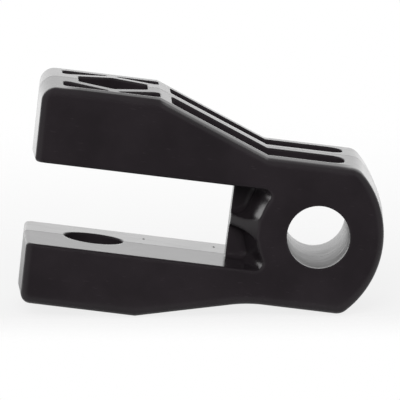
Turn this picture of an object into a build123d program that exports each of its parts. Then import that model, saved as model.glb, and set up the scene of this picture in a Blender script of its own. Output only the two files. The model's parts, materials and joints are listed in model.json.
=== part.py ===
"""Rear mounting bracket: a one-piece moulded fork with an eye at its closed end."""

import os
from math import hypot, radians, sqrt, tan

from build123d import *

# Sizes are in millimetres and angles in degrees.
# X runs from the open end of the fork to the eye, Y across the bracket and Z up.
# The origin is the centre of the cross bore. The mould parts on the plane Y = 0.

# Body seen from the side, at its two side faces
body_width = 30.0
fork_reach = 59.8
fork_end_lean = 0.8
upper_arm_top = 24.1
lower_arm_bottom = 20.9
top_flat_length = 24.1
bottom_flat_length = 23.7
slope_end_top_x = -12.2
slope_end_bottom_x = -12.8
eye_top = 14.9
eye_bottom = 15.45
eye_reach = 13.4
eye_end_radius = 20.1
eye_end_centre_z = -0.35
top_corner_radius = 3.0
bottom_corner_radius = 2.0
eye_corner_radius = 3.0
underside_blend_radius = 28.0

# The body grows from its side faces to the mould's parting plane
draft = 1.5
face_edge_radius = 1.7

# Fork slot
slot_height = 16.9
slot_end_x = -18.0
slot_edge_radius = 0.8

# Holes
cross_bore_radius = 6.5
pin_hole_radius = 6.25
pin_hole_setback = 14.6

# Recesses at the closed end of the slot, two on each side of a centre web
web_thickness = 6.0
boss_wall = 5.9
boss_draft = 13.0
gusset_thickness = 1.6
gusset_foot = 1.2
gusset_root_radius = 3.0
recess_corner_radius = 1.5
recess_floor_radius = 1.2

# Pockets in the top and the underside
pocket_floor = 4.6
pocket_draft = 1.0
outer_wall = 4.6
centre_rib = 4.8
cross_rib = 2.8
groove_end_x = 3.7
groove_end_flat = 2.0
end_wall = 4.4
diamond_margin_x = 0.75
diamond_margin_y = 3.0
diamond_end_share = 0.46
diamond_rib = 2.8
pocket_corner_radius = 0.8
wedge_tip_radius = 0.3

# Worked out from the sizes above
half_width = body_width / 2
slot_half_height = slot_height / 2
slot_half_at_middle = slot_half_height - half_width * tan(radians(draft))
lower_arm_reach = fork_reach - fork_end_lean
upper_kink_x = top_flat_length - fork_reach
lower_kink_x = bottom_flat_length - lower_arm_reach
pin_hole_x = pin_hole_setback - fork_reach
boss_radius = cross_bore_radius + boss_wall
pocket_edge_y = half_width - outer_wall
diamond_half_length = pin_hole_radius + diamond_margin_x
diamond_half_width = pocket_edge_y - diamond_margin_y
diamond_end_half_width = diamond_half_width * diamond_end_share
overrun = 5.0


def recess_tool(z_low, z_high):
    """The cutter of one recess: from the side face down to the centre web."""
    with BuildPart() as tool:
        with BuildSketch(Plane.XZ.offset(half_width)):
            with Locations((slot_end_x - overrun, z_low)):
                Rectangle(overrun - slot_end_x, z_high - z_low, align=(Align.MIN, Align.MIN))
        extrude(amount=-(half_width - web_thickness / 2), taper=draft)
        with BuildSketch(Plane.XZ.offset(half_width)):
            Circle(boss_radius)
        extrude(amount=-half_width, taper=-boss_draft, mode=Mode.SUBTRACT)
        # The corner at the gusset comes first, then the one at the slot's wall
        for place, radius in ((0, gusset_root_radius), (-1, recess_corner_radius)):
            boss_side = faces().filter_by(GeomType.CONE)[0]
            corners = boss_side.edges().sort_by(Axis.Y)[1:-1]
            fillet(corners.sort_by(lambda edge: abs(edge.center().Z))[place], radius)
        fillet(faces().sort_by(Axis.Y)[-1].edges(), recess_floor_radius)
    return tool.part


# The four recesses leave a level gusset rib on each side of the web
upper_recess = recess_tool(gusset_thickness / 2, slot_half_height)
lower_recess = recess_tool(-slot_half_height, -gusset_thickness / 2)

# The wedge slopes each gusset rib from the boss, at the side face, down to the web
gusset_top_x = -sqrt(boss_radius**2 - (gusset_thickness / 2) ** 2)
gusset_foot_y = -web_thickness / 2 - gusset_foot
gusset_run = (gusset_top_x - slot_end_x) / (gusset_foot_y + half_width)
with BuildPart() as gusset_slope:
    with BuildSketch(Plane.XY):
        with BuildLine():
            Polyline(
                (slot_end_x - overrun, gusset_foot_y),
                (slot_end_x, gusset_foot_y),
                (gusset_top_x + gusset_run * overrun, -half_width - overrun),
                (slot_end_x - overrun, -half_width - overrun),
                close=True,
            )
        make_face()
    extrude(amount=slot_half_height / 2, both=True)


def groove_plan():
    """Two long grooves beside the centre rib, from the cross rib to the eye."""
    inner = centre_rib / 2
    start = upper_kink_x + cross_rib
    with BuildSketch() as plan:
        with Locations((start, inner)):
            Rectangle(groove_end_x - start, pocket_edge_y - inner, align=(Align.MIN, Align.MIN))
        end_radius = (pocket_edge_y - inner - groove_end_flat) / 2
        fillet(plan.vertices().group_by(Axis.X)[-1], end_radius)
        fillet(plan.vertices().group_by(Axis.X)[0], pocket_corner_radius)
        mirror(about=Plane.XZ)
    return plan.sketch


def diamond_plan():
    """The six-sided pocket round the pin hole."""
    ends = diamond_half_length
    with BuildSketch() as plan:
        with BuildLine():
            Polyline(
                (pin_hole_x - ends, -diamond_end_half_width),
                (pin_hole_x, -diamond_half_width),
                (pin_hole_x + ends, -diamond_end_half_width),
                (pin_hole_x + ends, diamond_end_half_width),
                (pin_hole_x, diamond_half_width),
                (pin_hole_x - ends, diamond_end_half_width),
                close=True,
            )
        make_face()
        fillet(plan.vertices(), pocket_corner_radius)
    return plan.sketch


def wedge_plan(end_x):
    """A pair of three-cornered pockets from the end x to a tip beside the pin hole."""
    grade = (diamond_half_width - diamond_end_half_width) / diamond_half_length
    rib_peak = diamond_half_width + diamond_rib * hypot(1, grade)
    side = 1 if end_x > pin_hole_x else -1
    tip_x = pin_hole_x + side * (rib_peak - pocket_edge_y) / grade
    inner = rib_peak - grade * abs(end_x - pin_hole_x)
    with BuildSketch() as plan:
        with BuildLine():
            Polyline((tip_x, pocket_edge_y), (end_x, pocket_edge_y), (end_x, inner), close=True)
        make_face()
        end_corners = plan.vertices().group_by(Axis.X)[-1 if side > 0 else 0]
        fillet(end_corners, pocket_corner_radius)
        tip = plan.vertices().sort_by_distance((tip_x, pocket_edge_y))[0]
        fillet(tip, wedge_tip_radius)
        mirror(about=Plane.XZ)
    return plan.sketch


pocket_plans = [
    groove_plan(),
    diamond_plan(),
    wedge_plan(-fork_reach + end_wall),
    wedge_plan(upper_kink_x),
]

with BuildPart() as rear_bracket:
    # One half of the body: side outline, drafted, with a round rim
    with BuildSketch(Plane.XZ.offset(half_width)) as outline:
        with BuildLine():
            eye_centre_x = eye_reach - eye_end_radius
            top_run = sqrt(eye_end_radius**2 - (eye_top - eye_end_centre_z) ** 2)
            bottom_run = sqrt(eye_end_radius**2 - (eye_bottom + eye_end_centre_z) ** 2)
            eye_top_end = (eye_centre_x + top_run, eye_top)
            eye_bottom_end = (eye_centre_x + bottom_run, -eye_bottom)
            Polyline(
                eye_bottom_end,
                (slope_end_bottom_x, -eye_bottom),
                (lower_kink_x, -lower_arm_bottom),
                (-lower_arm_reach, -lower_arm_bottom),
                (-fork_reach, upper_arm_top),
                (upper_kink_x, upper_arm_top),
                (slope_end_top_x, eye_top),
                eye_top_end,
            )
            ThreePointArc(eye_top_end, (eye_reach, eye_end_centre_z), eye_bottom_end)
        make_face()
        rounded_corners = [
            ((-fork_reach, upper_arm_top), top_corner_radius),
            ((-lower_arm_reach, -lower_arm_bottom), bottom_corner_radius),
            (eye_top_end, eye_corner_radius),
            (eye_bottom_end, eye_corner_radius),
            ((slope_end_bottom_x, -eye_bottom), underside_blend_radius),
        ]
        for corner, radius in rounded_corners:
            fillet(outline.vertices().sort_by_distance(corner)[0], radius)
    extrude(amount=-half_width, taper=-draft)
    fillet(faces().sort_by(Axis.Y)[0].edges(), face_edge_radius)

    # Half of the fork slot, wider at the side face than at the parting plane
    with BuildSketch(Plane.XZ):
        with Locations((slot_end_x, 0)):
            Rectangle(fork_reach, 2 * slot_half_at_middle, align=(Align.MAX, Align.CENTER))
    extrude(amount=half_width, taper=-draft, mode=Mode.SUBTRACT)

    # Recesses beside the web at the closed end of the slot
    add(upper_recess, mode=Mode.SUBTRACT)
    add(lower_recess, mode=Mode.SUBTRACT)
    add(gusset_slope.part, mode=Mode.SUBTRACT)

    # Edges of the slot and the recesses at the side face, then the other half
    slot_reach = slot_half_height + slot_edge_radius
    slot_edges = faces().sort_by(Axis.Y)[0].edges().filter_by_position(Axis.X, -fork_reach, 0)
    slot_edges = slot_edges.filter_by_position(Axis.Z, -slot_reach, slot_reach)
    fillet(slot_edges, slot_edge_radius)
    mirror(about=Plane.XZ)

    # Pockets above and below the slot
    floor_z = slot_half_height + pocket_floor
    for plan in pocket_plans:
        for level, direction in ((floor_z, 1), (-floor_z, -1)):
            extrude(
                plan.moved(Location((0, 0, level))),
                amount=upper_arm_top * direction,
                taper=-pocket_draft,
                mode=Mode.SUBTRACT,
            )

    # Cross bore through the eye and pin hole through both arms
    with BuildSketch(Plane.XZ):
        Circle(cross_bore_radius)
    extrude(amount=body_width, both=True, mode=Mode.SUBTRACT)
    with BuildSketch(Plane.XY):
        with Locations((pin_hole_x, 0)):
            Circle(pin_hole_radius)
    extrude(amount=2 * upper_arm_top, both=True, mode=Mode.SUBTRACT)

rear_bracket.part.label = "rear_bracket"
os.makedirs("parts", exist_ok=True)
export_step(rear_bracket.part, "parts/rear_bracket.step")
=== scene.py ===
import json
from math import cos, radians, sin

import bpy
from bpy.props import FloatProperty, FloatVectorProperty, PointerProperty
from mathutils import Matrix, Vector


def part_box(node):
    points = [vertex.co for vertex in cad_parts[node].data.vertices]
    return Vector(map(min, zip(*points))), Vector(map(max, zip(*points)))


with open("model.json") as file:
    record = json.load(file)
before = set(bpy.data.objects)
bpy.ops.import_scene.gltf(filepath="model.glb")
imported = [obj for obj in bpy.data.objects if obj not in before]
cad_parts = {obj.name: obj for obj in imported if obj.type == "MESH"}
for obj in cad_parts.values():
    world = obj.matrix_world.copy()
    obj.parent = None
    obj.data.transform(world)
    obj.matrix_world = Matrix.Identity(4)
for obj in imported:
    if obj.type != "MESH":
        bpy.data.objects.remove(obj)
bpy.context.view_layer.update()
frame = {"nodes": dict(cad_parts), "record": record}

bl_info = {
    "name": "Rear Mounting Bracket",
    "version": (1, 0, 0),
    "blender": (4, 5, 0),
    "location": "3D View > Sidebar > Bracket",
    "description": "Finishes a moulded nylon fork bracket and sets up its product shot",
    "category": "Object",
}

BODY_NODE = "rear_bracket"
MILLIMETRE = 0.001

HALF_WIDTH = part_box(BODY_NODE)[1].y

BORE_RADIUS = frame["record"]["mounts"][0]["dims"]["r_mm"] * MILLIMETRE
WHITE = (1.0, 1.0, 1.0, 1.0)

# Sizes of the patterns in the moulded skin
CLOUD_SIZE = 9.0 * MILLIMETRE
STREAK_SIZE = 1.6 * MILLIMETRE
GRAIN_SIZE = 0.35 * MILLIMETRE
SCUFF_SIZE = 0.22 * MILLIMETRE
FLASH_BREAK_SIZE = 5.0 * MILLIMETRE
RING_SIZE = 0.45 * MILLIMETRE

# How much longer some of these patterns are along X, Y and Z
STREAK_STRETCH = (6.0, 1.0, 1.0)
SCUFF_STRETCH = (9.0, 1.0, 2.0)
RING_STRETCH = (16.0, 1.0, 16.0)

# Levels of a pattern: its middle, and those between which its mark fades in
NOISE_MIDDLE = 0.5
CLOUD_LEVELS = (0.25, 0.75)
SCUFF_LEVELS = (0.66, 0.74)
FLASH_BREAK_LEVELS = (0.36, 0.56)

# How strongly the marks change the shade, the roughness and, in millimetres, the height
CLOUD_SHADES = (0.86, 1.14)
SCUFF_SHADE = 0.35
CLOUD_ROUGHNESS = 0.10
STREAK_ROUGHNESS = 0.08
SCUFF_ROUGHNESS = 0.08
RING_ROUGHNESS = 0.5
PIT_ROUGHNESS = 0.8
CLOUD_HEIGHT = 0.02
PIT_HEIGHT = 0.3

# Share of the mould line's height that is left where the line breaks off
LEAST_FLASH = 0.35

# Small sink pits on the top of the lower arm, each longer across the arm than along it.
# The core is the share of a pit's radius that is as deep as its middle.
PIT_STRETCH = 3.5
PIT_CORE = 0.5
PITS = (
    (-20.0 * MILLIMETRE, 8.0 * MILLIMETRE, -8.27 * MILLIMETRE),
    (-34.6 * MILLIMETRE, 7.3 * MILLIMETRE, -8.25 * MILLIMETRE),
)

# The rough wall of the cross bore: the radii it fades between, as shares of the bore's radius,
# the depths it fades in over behind a mouth, and how much of it is left at the back
BORE_WALL_RADII = (1.01, 1.03)
BORE_WALL_DEPTHS = (0.4 * MILLIMETRE, 1.6 * MILLIMETRE)
BORE_WALL_AT_BACK = 0.3

# Stretches along X over which one part of the bracket's top gives way to the next
POCKETS_START = (-56.0 * MILLIMETRE, -52.0 * MILLIMETRE)
SLOPE_START = (-38.0 * MILLIMETRE, -34.0 * MILLIMETRE)
LEAN_CHANGE = (-38.0 * MILLIMETRE, -30.0 * MILLIMETRE)
POCKETS_END = (2.0 * MILLIMETRE, 6.0 * MILLIMETRE)
EYE_ROUND = (6.0 * MILLIMETRE, 10.0 * MILLIMETRE)

# Heights above or below the bore that are past the slot's edges
PAST_SLOT = (9.0 * MILLIMETRE, 11.0 * MILLIMETRE)

# Upward parts of a normal: on a nearly level top, and where the round rim starts at the side face
LEVEL_TOP = (0.75, 0.9)
RIM_START = (0.05, 0.3)

# Share of a wall's width that leans in full, and share of the lean from the slope to the eye
WALL_LEAN_SHARE = 0.85
SLOPE_LEAN_SHARE = 0.65

BEVEL_SAMPLES = 6

# Parts of a direction, sideways and upwards, over which the surround changes
ASIDE = (0.3, 0.9)
OVERHEAD = (0.4, 0.9)

# The camera's sensor in millimetres, and its clipping in metres
SENSOR_WIDTH = 36.0
CLIP_START = 0.1
CLIP_END = 100.0


class NylonSettings(bpy.types.PropertyGroup):
    """Colour and surface of the moulded nylon."""

    colour: FloatVectorProperty(
        name="Colour",
        description="Colour of the black nylon",
        subtype="COLOR",
        size=3,
        min=0.0,
        max=1.0,
        default=(0.0265, 0.0215, 0.0250),
    )
    roughness: FloatProperty(
        name="Roughness",
        description="Mean roughness of the moulded skin",
        subtype="FACTOR",
        min=0.0,
        max=1.0,
        default=0.16,
    )
    refraction: FloatProperty(
        name="Refractive index",
        description="How strongly the skin reflects at a glancing angle",
        min=1.0,
        max=2.5,
        default=1.5,
    )
    grain_depth: FloatProperty(
        name="Grain depth",
        description="Depth of the fine grain that the mould leaves",
        subtype="DISTANCE",
        default=0.002 * MILLIMETRE,
    )
    flash_height: FloatProperty(
        name="Flash height",
        description="Height of the thin line where the mould halves meet",
        subtype="DISTANCE",
        default=0.12 * MILLIMETRE,
    )
    flash_width: FloatProperty(
        name="Flash width",
        description="Half of the width of the mould line",
        subtype="DISTANCE",
        default=0.17 * MILLIMETRE,
    )
    bore_radius: FloatProperty(
        name="Bore radius",
        description="Radius of the cross bore, whose wall has fine rings",
        subtype="DISTANCE",
        default=BORE_RADIUS,
    )
    ring_depth: FloatProperty(
        name="Ring depth",
        description="Depth of the fine rings in the cross bore",
        subtype="DISTANCE",
        default=0.010 * MILLIMETRE,
    )
    bore_roughness: FloatProperty(
        name="Bore roughness",
        description="How much rougher the inside of the cross bore is than its mouths",
        subtype="FACTOR",
        min=0.0,
        max=1.0,
        default=0.26,
    )
    edge_softness: FloatProperty(
        name="Edge softness",
        description="Radius over which sharp moulded edges catch the light",
        subtype="DISTANCE",
        default=0.8 * MILLIMETRE,
    )
    wall_lean: FloatProperty(
        name="Wall lean",
        description="How far the tops of the thin outer walls lean out at most, as a slope",
        min=0.0,
        default=0.21,
    )
    wall_width: FloatProperty(
        name="Wall width",
        description="Width of the outer walls beside the pockets",
        subtype="DISTANCE",
        default=4.6 * MILLIMETRE,
    )
    rim_flatness: FloatProperty(
        name="Rim flatness",
        description="How much flatter than round the upper rim is from the slope to the eye",
        subtype="FACTOR",
        min=0.0,
        max=1.0,
        default=0.5,
    )
    pit_radius: FloatProperty(
        name="Pit radius",
        description="Radius of the small sink pits on the lower arm",
        subtype="DISTANCE",
        default=0.28 * MILLIMETRE,
    )


class StageSettings(bpy.types.PropertyGroup):
    """Floor, light and camera of the product shot."""

    resting_tilt: FloatProperty(
        name="Resting tilt",
        description="Turn between the part's own frame and the way it rests on the floor",
        subtype="ANGLE",
        default=radians(7.2),
    )
    camera_azimuth: FloatProperty(
        name="Camera azimuth",
        description="Camera's turn round the resting part, negative to its left",
        subtype="ANGLE",
        default=radians(-1.44),
    )
    camera_elevation: FloatProperty(
        name="Camera elevation",
        description="Camera's angle above the floor",
        subtype="ANGLE",
        default=radians(9.13),
    )
    camera_distance: FloatProperty(
        name="Camera distance",
        description="From the camera to the front face of the part",
        subtype="DISTANCE",
        default=2.5,
    )
    picture_width: FloatProperty(
        name="Picture width",
        description="Width that the picture spans at the part's front face",
        subtype="DISTANCE",
        default=81.88 * MILLIMETRE,
    )
    bore_right: FloatProperty(
        name="Bore to the right",
        description="How far the cross bore lies right of the picture's centre",
        subtype="DISTANCE",
        default=24.27 * MILLIMETRE,
    )
    bore_below: FloatProperty(
        name="Bore below",
        description="How far the cross bore lies below the picture's centre",
        subtype="DISTANCE",
        default=7.67 * MILLIMETRE,
    )
    floor_colour: FloatVectorProperty(
        name="Floor colour",
        description="Colour of the plain pale floor",
        subtype="COLOR",
        size=3,
        min=0.0,
        max=1.0,
        default=(0.90, 0.90, 0.90),
    )
    floor_glow: FloatProperty(
        name="Floor glow",
        description="Share of plain white in what the camera sees of the floor",
        subtype="FACTOR",
        min=0.0,
        max=1.0,
        default=0.82,
    )
    floor_width: FloatProperty(
        name="Floor width",
        description="Width of the floor, left to right",
        subtype="DISTANCE",
        default=0.36,
    )
    floor_back: FloatProperty(
        name="Floor behind",
        description="How far the floor reaches behind the part",
        subtype="DISTANCE",
        default=0.26,
    )
    floor_front: FloatProperty(
        name="Floor in front",
        description="How far the floor reaches in front of the part's middle",
        subtype="DISTANCE",
        default=0.045,
    )
    floor_fade: FloatProperty(
        name="Floor fade",
        description="Width of the rim over which the floor fades into the backdrop",
        subtype="DISTANCE",
        default=0.04,
    )
    fill_power: FloatProperty(
        name="Fill lamp",
        description="Power of the large soft lamp above and in front",
        subtype="POWER",
        default=8.5,
    )
    fill_size: FloatProperty(
        name="Fill lamp size",
        description="Diameter of the fill lamp",
        subtype="DISTANCE",
        default=0.7,
    )
    fill_place: FloatVectorProperty(
        name="Fill lamp place",
        description="Where the fill lamp stands, from the cross bore",
        subtype="TRANSLATION",
        size=3,
        default=(-0.15, -1.05, 0.50),
    )
    sheet_level: FloatProperty(
        name="Sheet level",
        description="Brightness of the white sheet behind the part",
        min=0.0,
        default=1.15,
    )
    sheet_height: FloatProperty(
        name="Sheet height",
        description="Angle that the white sheet rises to above the floor",
        subtype="ANGLE",
        default=radians(42.0),
    )
    sheet_half_width: FloatProperty(
        name="Sheet half width",
        description="Angle that the white sheet reaches to each side",
        subtype="ANGLE",
        default=radians(40.0),
    )
    sheet_softness: FloatProperty(
        name="Sheet softness",
        description="Angle over which the edge of the white sheet fades",
        subtype="ANGLE",
        default=radians(20.0),
    )
    side_level: FloatProperty(
        name="Side level",
        description="Brightness of the surround to the left and right",
        min=0.0,
        default=0.33,
    )
    overhead_level: FloatProperty(
        name="Overhead level",
        description="Brightness of the surround straight above",
        min=0.0,
        default=0.22,
    )
    front_level: FloatProperty(
        name="Front level",
        description="Brightness of the surround on the camera's side",
        min=0.0,
        default=0.06,
    )


class Wire:
    """A socket of a node tree. Arithmetic on it adds Math nodes."""

    def __init__(self, tree, socket=None):
        self.tree = tree
        self.socket = socket

    def node(self, kind, settings=None, inputs=None, output=0):
        """Adds a node of a kind: its settings first, then its sockets' values or links."""
        made = self.tree.nodes.new(kind)
        for name, value in (settings or {}).items():
            setattr(made, name, value)
        for key, value in (inputs or {}).items():
            if isinstance(value, Wire):
                self.tree.links.new(value.socket, made.inputs[key])
            else:
                made.inputs[key].default_value = value
        return Wire(self.tree, made.outputs[output]) if made.outputs else None

    def maths(self, operation, *values):
        """Adds a Math node for an operation on values or wires."""
        return self.node("ShaderNodeMath", {"operation": operation}, dict(enumerate(values)))

    def __add__(self, other):
        return self.maths("ADD", self, other)

    def __sub__(self, other):
        return self.maths("SUBTRACT", self, other)

    def __rsub__(self, other):
        return self.maths("SUBTRACT", other, self)

    def __mul__(self, other):
        return self.maths("MULTIPLY", self, other)

    def __truediv__(self, other):
        return self.maths("DIVIDE", self, other)

    def __rtruediv__(self, other):
        return self.maths("DIVIDE", other, self)

    def __pow__(self, other):
        return self.maths("POWER", self, other)

    def __rpow__(self, other):
        return self.maths("POWER", other, self)

    def __abs__(self):
        return self.maths("ABSOLUTE", self)

    __radd__ = __add__
    __rmul__ = __mul__

    def fade(self, start, end, low=0.0, high=1.0):
        """A smooth step from low, at start, to high, at end."""
        inputs = {"Value": self, "From Min": start, "From Max": end, "To Min": low, "To Max": high}
        return self.node("ShaderNodeMapRange", {"interpolation_type": "SMOOTHSTEP"}, inputs)

    def parts(self):
        """The three parts of a vector."""
        split = self.node("ShaderNodeSeparateXYZ", inputs={"Vector": self}).socket.node
        return [Wire(self.tree, output) for output in split.outputs]


def noise(place, size, detail=3.0, stretch=(1.0, 1.0, 1.0)):
    """Noise whose features are about one size, in metres, times the stretch along each axis."""
    scale = [1.0 / (size * along) for along in stretch]
    spread = place.node("ShaderNodeMapping", inputs={"Vector": place, "Scale": scale})
    return place.node("ShaderNodeTexNoise", inputs={"Vector": spread, "Scale": 1.0, "Detail": detail})


def clear_tree(tree):
    """Empties a node tree and gives a wire to add its first nodes with."""
    tree.nodes.clear()
    return Wire(tree)


def pit_marks(x, y, z, settings):
    """Where the small sink pits are."""
    marks = 0.0
    for pit_x, pit_y, pit_z in PITS:
        across = (y - pit_y) / PIT_STRETCH
        apart = ((x - pit_x) ** 2 + across**2 + (z - pit_z) ** 2) ** 0.5
        marks = marks + apart.fade(settings.pit_radius * PIT_CORE, settings.pit_radius, 1.0, 0.0)
    return marks


def bore_wall(x, y, z, settings):
    """Where the cross bore's wall is rough: not at its mouths, and less towards the back."""
    from_axis = (x * x + z * z) ** 0.5
    inner, outer = (settings.bore_radius * share for share in BORE_WALL_RADII)
    from_mouth = HALF_WIDTH - abs(y)
    to_back = y.fade(-HALF_WIDTH, HALF_WIDTH, 1.0, BORE_WALL_AT_BACK)
    return from_axis.fade(inner, outer, 1.0, 0.0) * from_mouth.fade(*BORE_WALL_DEPTHS) * to_back


def moulded_normal(x, y, z, settings):
    """The normal with softened edges, outer walls that lean out and a flatter upper rim."""
    soft_edges = x.node(
        "ShaderNodeBevel", {"samples": BEVEL_SAMPLES}, {"Radius": settings.edge_softness}
    )
    along, across, up = soft_edges.parts()
    past_slot = abs(z).fade(*PAST_SLOT)

    from_side = HALF_WIDTH - abs(y)
    lean_end = settings.wall_width * WALL_LEAN_SHARE
    on_wall = from_side.fade(lean_end, settings.wall_width, 1.0, 0.0) * abs(up).fade(*LEVEL_TOP)
    beside_pockets = x.fade(*POCKETS_START) * x.fade(*POCKETS_END, 1.0, 0.0) * past_slot
    slope_lean = settings.wall_lean * SLOPE_LEAN_SHARE
    lean = x.fade(*LEAN_CHANGE, settings.wall_lean, slope_lean) * beside_pockets * on_wall

    past_flat_top = x.fade(*SLOPE_START) * x.fade(*EYE_ROUND, 1.0, 0.0) * past_slot
    flatness = past_flat_top * up.fade(*RIM_START) * settings.rim_flatness

    outwards = across * (1.0 - flatness) + y.maths("SIGN", y) * lean
    eased = x.node("ShaderNodeCombineXYZ", inputs={"X": along, "Y": outwards, "Z": up})
    return x.node("ShaderNodeVectorMath", {"operation": "NORMALIZE"}, {"Vector": eased})


def nylon_material(settings):
    """Black moulded nylon: fine grain, flow marks, the mould line and rings in the bore."""
    material = bpy.data.materials.new("moulded_nylon")
    material.use_nodes = True
    start = clear_tree(material.node_tree)
    place = start.node("ShaderNodeTexCoord", output="Object")
    x, y, z = place.parts()

    clouds = noise(place, CLOUD_SIZE, detail=4.0)
    streaks = noise(place, STREAK_SIZE, stretch=STREAK_STRETCH)
    grain = noise(place, GRAIN_SIZE, detail=2.0)
    scuffs = noise(place, SCUFF_SIZE, detail=2.0, stretch=SCUFF_STRETCH).fade(*SCUFF_LEVELS)
    rings = noise(place, RING_SIZE, stretch=RING_STRETCH)

    breaks = noise(place, FLASH_BREAK_SIZE, detail=2.0)
    unbroken = breaks.fade(*FLASH_BREAK_LEVELS, LEAST_FLASH, 1.0)
    flash = abs(y).fade(0.0, settings.flash_width, 1.0, 0.0) * unbroken
    pits = pit_marks(x, y, z, settings)
    inside = bore_wall(x, y, z, settings)

    shade = clouds.fade(*CLOUD_LEVELS, *CLOUD_SHADES) + scuffs * SCUFF_SHADE
    colour = start.node(
        "ShaderNodeVectorMath", {"operation": "SCALE"}, {"Vector": settings.colour, "Scale": shade}
    )

    roughness = (
        settings.roughness
        + (clouds - NOISE_MIDDLE) * CLOUD_ROUGHNESS
        + (streaks - NOISE_MIDDLE) * STREAK_ROUGHNESS
        + scuffs * SCUFF_ROUGHNESS
        + pits * PIT_ROUGHNESS
        + inside * (settings.bore_roughness + (rings - NOISE_MIDDLE) * RING_ROUGHNESS)
    )

    # The height is in millimetres
    height = (
        grain * (settings.grain_depth / MILLIMETRE)
        + clouds * CLOUD_HEIGHT
        + flash * (settings.flash_height / MILLIMETRE)
        + inside * rings * (settings.ring_depth / MILLIMETRE)
        - pits * PIT_HEIGHT
    )
    bump = start.node(
        "ShaderNodeBump",
        inputs={
            "Height": height,
            "Distance": MILLIMETRE,
            "Strength": 1.0,
            "Normal": moulded_normal(x, y, z, settings),
        },
    )
    skin = start.node(
        "ShaderNodeBsdfPrincipled",
        inputs={
            "Base Color": colour,
            "Roughness": roughness,
            "IOR": settings.refraction,
            "Normal": bump,
        },
    )
    start.node("ShaderNodeOutputMaterial", inputs={"Surface": skin})
    return material


def floor_material(settings):
    """A plain pale floor that the camera sees near white, with the part's soft shadow on it."""
    material = bpy.data.materials.new("pale_floor")
    material.use_nodes = True
    start = clear_tree(material.node_tree)
    camera_ray = start.node("ShaderNodeLightPath", output="Is Camera Ray")
    lit = start.node("ShaderNodeBsdfDiffuse", inputs={"Color": (*settings.floor_colour, 1.0)})
    glow = start.node("ShaderNodeEmission", inputs={"Color": WHITE, "Strength": 1.0})
    mixed = start.node(
        "ShaderNodeMixShader", inputs={0: camera_ray * settings.floor_glow, 1: lit, 2: glow}
    )
    x, y, _ = start.node("ShaderNodeTexCoord", output="Object").parts()
    half = settings.floor_width / 2
    fade = settings.floor_fade
    sides = abs(x).fade(half - fade, half, 1.0, 0.0)
    back = y.fade(0.0, settings.floor_back, 1.0, 0.0)
    front = y.fade(-settings.floor_front, fade - settings.floor_front)
    clear = start.node("ShaderNodeBsdfTransparent")
    faded = start.node("ShaderNodeMixShader", inputs={0: sides * back * front, 1: clear, 2: mixed})
    start.node("ShaderNodeOutputMaterial", inputs={"Surface": faded})
    return material


def build_world(settings):
    """A white sheet behind the part, a dimmer room beside and above it, and a dark front."""
    world = bpy.data.worlds.new("surround")
    world.use_nodes = True
    start = clear_tree(world.node_tree)
    direction = start.node("ShaderNodeTexCoord", output="Generated")
    level_direction = start.node(
        "ShaderNodeMapping",
        {"vector_type": "POINT"},
        {"Vector": direction, "Rotation": (0.0, settings.resting_tilt, 0.0)},
    )
    sideways, backwards, upwards = level_direction.parts()
    height = upwards.maths("ARCSINE", upwards)
    turned = abs(sideways.maths("ARCTAN2", sideways, backwards))

    soft = settings.sheet_softness
    top = settings.sheet_height
    side = settings.sheet_half_width
    low = height.fade(top - soft, top + soft, 1.0, 0.0)
    near = turned.fade(side - soft / 2, side + soft / 2, 1.0, 0.0)
    aside = abs(sideways).fade(*ASIDE) * (settings.side_level - settings.front_level)
    above = upwards.fade(*OVERHEAD) * (settings.overhead_level - settings.front_level)
    level = low * near * settings.sheet_level + aside + above + settings.front_level
    surround = start.node("ShaderNodeCombineColor", inputs={0: level, 1: level, 2: level})
    camera_ray = start.node("ShaderNodeLightPath", output="Is Camera Ray")

    # A Mix node's two colours are its sockets 6 and 7, and the mixed colour is its output 2
    seen = start.node(
        "ShaderNodeMix",
        {"data_type": "RGBA"},
        {0: camera_ray, 6: surround, 7: WHITE},
        output=2,
    )
    shown = start.node("ShaderNodeBackground", inputs={"Color": seen, "Strength": 1.0})
    start.node("ShaderNodeOutputWorld", inputs={"Surface": shown})
    bpy.context.scene.world = world


def resting_turn(settings):
    """Turn from the frame of the resting part, floor level, to the part's own frame."""
    return Matrix.Rotation(-settings.resting_tilt, 4, "Y")


def build_floor(settings):
    """A level floor in the resting frame, touching the lowest points of the part."""
    turn = resting_turn(settings)
    to_rest = turn.inverted()
    vertices = frame["nodes"][BODY_NODE].data.vertices
    lowest = min((to_rest @ vertex.co).z for vertex in vertices)
    half = settings.floor_width / 2
    corners = [
        (-half, -settings.floor_front),
        (half, -settings.floor_front),
        (half, settings.floor_back),
        (-half, settings.floor_back),
    ]
    mesh = bpy.data.meshes.new("floor")
    mesh.from_pydata([turn @ Vector((x, y, lowest)) for x, y in corners], [], [(0, 1, 2, 3)])
    mesh.materials.append(floor_material(settings))
    floor = bpy.data.objects.new("floor", mesh)
    bpy.context.scene.collection.objects.link(floor)


def build_fill_lamp(settings):
    """A large soft lamp above and in front, which adds no highlight of its own."""
    lamp = bpy.data.lights.new("fill_lamp", "AREA")
    lamp.shape = "DISK"
    lamp.size = settings.fill_size
    lamp.energy = settings.fill_power
    fill = bpy.data.objects.new("fill_lamp", lamp)
    fill.visible_glossy = False
    bpy.context.scene.collection.objects.link(fill)
    place = Vector(settings.fill_place)
    fill.matrix_world = (
        resting_turn(settings)
        @ Matrix.Translation(place)
        @ place.to_track_quat("Z", "Y").to_matrix().to_4x4()
    )


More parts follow.
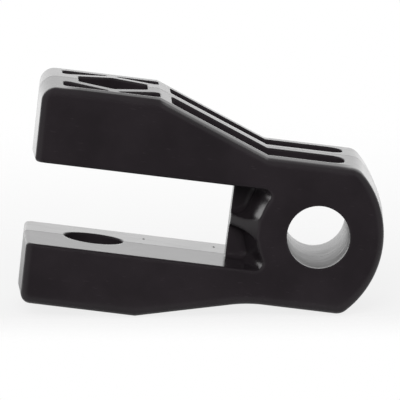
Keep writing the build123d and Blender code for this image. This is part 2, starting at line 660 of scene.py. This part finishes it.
def build_camera(settings):
    """A long lens at the photograph's angle, aimed so that the bore falls where it does there."""
    azimuth = settings.camera_azimuth
    elevation = settings.camera_elevation
    right = Vector((cos(azimuth), sin(azimuth), 0.0))
    back = Vector((sin(azimuth) * cos(elevation), -cos(azimuth) * cos(elevation), sin(elevation)))
    up = back.cross(right)
    bore_front = Vector((0.0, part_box(BODY_NODE)[0].y, 0.0))
    aim = bore_front - right * settings.bore_right + up * settings.bore_below
    basis = Matrix((right, up, back)).transposed().to_4x4()
    basis.translation = aim + back * settings.camera_distance

    lens = bpy.data.cameras.new("product_camera")
    lens.sensor_width = SENSOR_WIDTH
    lens.lens = SENSOR_WIDTH * settings.camera_distance / settings.picture_width
    lens.clip_start = CLIP_START
    lens.clip_end = CLIP_END
    camera = bpy.data.objects.new("product_camera", lens)
    bpy.context.scene.collection.objects.link(camera)
    camera.matrix_world = resting_turn(settings) @ basis
    bpy.context.scene.camera = camera


class BRACKET_OT_body(bpy.types.Operator):
    """Give the moulded bracket its black nylon skin"""

    bl_idname = "bracket.body"
    bl_label = "Moulded body"

    def execute(self, context):
        body = frame["nodes"][BODY_NODE]
        body.data.materials.clear()
        body.data.materials.append(nylon_material(context.scene.bracket_nylon))
        return {"FINISHED"}


class BRACKET_OT_stage(bpy.types.Operator):
    """Set up the pale floor, the soft surround and the camera"""

    bl_idname = "bracket.stage"
    bl_label = "Stage"

    def execute(self, context):
        scene = context.scene
        settings = scene.bracket_stage
        scene.view_settings.view_transform = "Standard"
        build_world(settings)
        build_floor(settings)
        build_fill_lamp(settings)
        build_camera(settings)
        return {"FINISHED"}


class BRACKET_PT_sidebar(bpy.types.Panel):
    """Sizes and colours of the bracket and its stage"""

    bl_label = "Rear mounting bracket"
    bl_idname = "BRACKET_PT_sidebar"
    bl_space_type = "VIEW_3D"
    bl_region_type = "UI"
    bl_category = "Bracket"

    def draw(self, context):
        layout = self.layout
        for settings, operator in (
            (context.scene.bracket_nylon, BRACKET_OT_body),
            (context.scene.bracket_stage, BRACKET_OT_stage),
        ):
            box = layout.box()
            for name in settings.__annotations__:
                box.prop(settings, name)
            box.operator(operator.bl_idname)


CLASSES = (
    NylonSettings,
    StageSettings,
    BRACKET_OT_body,
    BRACKET_OT_stage,
    BRACKET_PT_sidebar,
)


def register():
    for each in CLASSES:
        bpy.utils.register_class(each)
    bpy.types.Scene.bracket_nylon = PointerProperty(type=NylonSettings)
    bpy.types.Scene.bracket_stage = PointerProperty(type=StageSettings)


def unregister():
    del bpy.types.Scene.bracket_stage
    del bpy.types.Scene.bracket_nylon
    for each in reversed(CLASSES):
        bpy.utils.unregister_class(each)


def main():
    register()
    bpy.ops.bracket.body()
    bpy.ops.bracket.stage()


if __name__ == "__main__":
    main()
